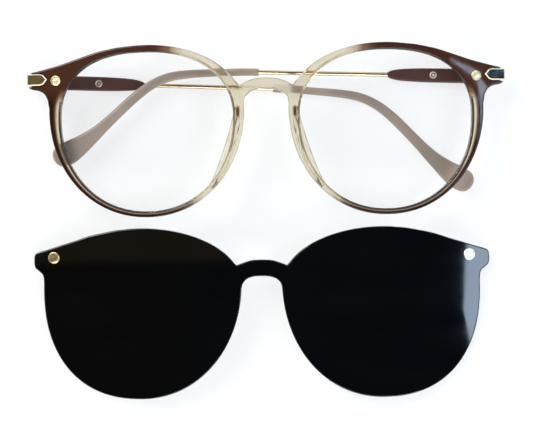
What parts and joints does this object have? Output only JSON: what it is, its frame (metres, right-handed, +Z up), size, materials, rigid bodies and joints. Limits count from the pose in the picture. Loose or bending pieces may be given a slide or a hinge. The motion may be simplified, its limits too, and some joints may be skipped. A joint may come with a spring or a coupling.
{
  "type": "spectacles with magnetic clip-on sunglasses",
  "caption": "Round spectacle frame on folded temples with a one-piece dark clip-on lens that snaps to magnets at its brow ends.",
  "frame": {"origin": "middle of the laid-out set's footprint, on the table", "axes": "+X along the front, to the right as seen; +Y from the lens bottoms to the brow; +Z up from the table, out of the front's face"},
  "size_m": [0.1408, 0.1046, 0.0152],
  "materials": {
    "brown_nylon": "polished, faded from dark brown to clear beige",
    "clear_lens": "clear, polished",
    "tinted_lens": "near-black tint, polished",
    "gold_plate": "pale gold plate, polished",
    "silver_plate": "polished",
    "steel": "satin",
    "magnet_nickel": "nickel plate",
    "brown_sleeve": "semi-gloss",
    "beige_tip": "semi-gloss"
  },
  "bodies": {
    "front": {"front_frame": "brown_nylon", "lens_left": "clear_lens", "lens_right": "clear_lens", "end_cap_left": "gold_plate", "end_cap_right": "gold_plate", "front_magnet_cap_left": "gold_plate", "front_magnet_cap_right": "gold_plate", "front_magnet_left": "magnet_nickel", "front_magnet_right": "magnet_nickel", "front_hinge_left": "steel", "front_hinge_right": "steel", "hinge_screw_left": "steel", "hinge_screw_right": "steel"},
    "temple_left": {"temple_hinge_left": "steel", "temple_sleeve_left": "brown_sleeve", "temple_rod_left": "gold_plate", "temple_tip_left": "beige_tip"},
    "temple_right": {"temple_hinge_right": "steel", "temple_sleeve_right": "brown_sleeve", "temple_rod_right": "gold_plate", "temple_tip_right": "beige_tip"},
    "clip": {"clip_shield": "tinted_lens", "clip_rivet_left": "gold_plate", "clip_rivet_right": "silver_plate", "clip_magnet_cup_left": "steel", "clip_magnet_cup_right": "steel", "clip_magnet_left": "magnet_nickel", "clip_magnet_right": "magnet_nickel"}
  },
  "joints": [
    {"name": "temple_left_hinge", "type": "hinge", "parent": "front", "child": "temple_left", "pos_m": [-0.06685, 0.0425, 0.00275], "axis": [0.0401, 0.9992, 0], "range_deg": [0, 93]},
    {"name": "temple_right_hinge", "type": "hinge", "parent": "front", "child": "temple_right", "pos_m": [0.06725, 0.0425, 0.00275], "axis": [-0.0297, -0.9996, 0], "range_deg": [0, 93]},
    {"name": "clip_lift", "type": "slide", "parent": "front", "child": "clip", "axis": [0, 0, 1], "range_m": [0, 0.02]}
  ]
}
